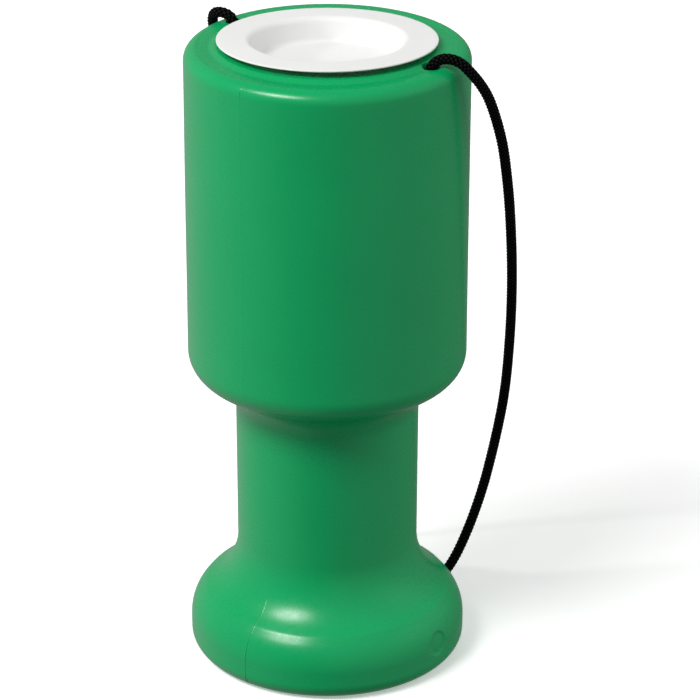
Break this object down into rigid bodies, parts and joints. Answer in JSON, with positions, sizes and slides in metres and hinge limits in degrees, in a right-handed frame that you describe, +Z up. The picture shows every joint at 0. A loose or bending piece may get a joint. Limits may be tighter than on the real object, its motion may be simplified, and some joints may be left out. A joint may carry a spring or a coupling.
{
  "type": "hand-held collecting container",
  "caption": "Round green container with a slim grip and a wide foot, a white push-in closure with a sunken coin slot, and a black carrying cord.",
  "frame": {"origin": "centre of the foot's underside, on the plane that the foot stands on", "axes": "+Z up along the axis of revolution, +X towards one of the two cord holes and -X towards the other"},
  "size_m": [0.1298, 0.1194, 0.2465],
  "materials": {
    "shell": "satin green polyethylene with a faint mould grain",
    "closure": "satin white polyethylene",
    "cord": "fine black braid"
  },
  "bodies": {
    "container": {"body": "shell", "cord": "cord", "knot_right": "cord", "knot_left": "cord"},
    "lid": {"closure": "closure"}
  },
  "joints": [
    {"name": "closure_lift", "type": "slide", "parent": "container", "child": "lid", "axis": [-0.0222, 0.0345, 0.9992], "range_m": [0, 0.04]}
  ]
}
